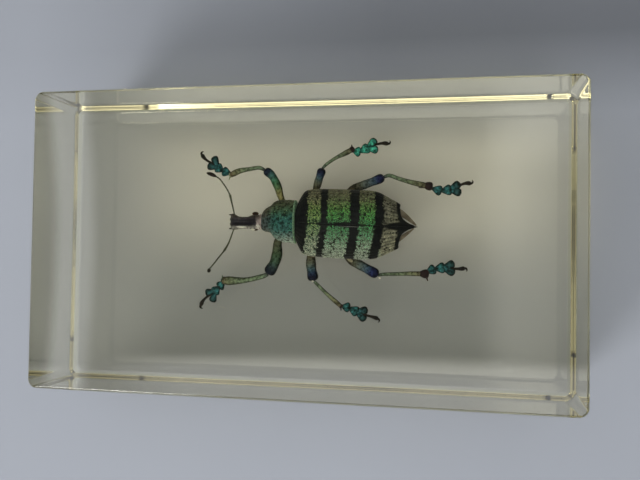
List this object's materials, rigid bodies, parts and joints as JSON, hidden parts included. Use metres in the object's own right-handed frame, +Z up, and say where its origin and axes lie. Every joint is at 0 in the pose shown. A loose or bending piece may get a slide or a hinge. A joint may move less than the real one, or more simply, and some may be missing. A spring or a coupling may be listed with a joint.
{
  "type": "insect in resin block",
  "caption": "Rectangular clear resin block with a banded green weevil sealed in it, lying flat on its large face for display or study.",
  "frame": {"origin": "middle of the block's bottom face, the large face that it lies on", "axes": "+X along the block's length, from the insect's head end to its tail end; +Y across the width, on the insect's right-hand side; +Z up out of the upper large face, towards which the insect's back is turned"},
  "size_m": [0.073, 0.0408, 0.02],
  "materials": {
    "clear_resin": "clear cast resin, faintly yellow, polished",
    "black_cuticle": "black insect cuticle, satin, pitted",
    "green_scales": "small metallic green scales, iridescent",
    "teal_scales": "small blue-green scales, iridescent"
  },
  "bodies": {
    "root": {"resin_block": "clear_resin"}
  },
  "joints": []
}
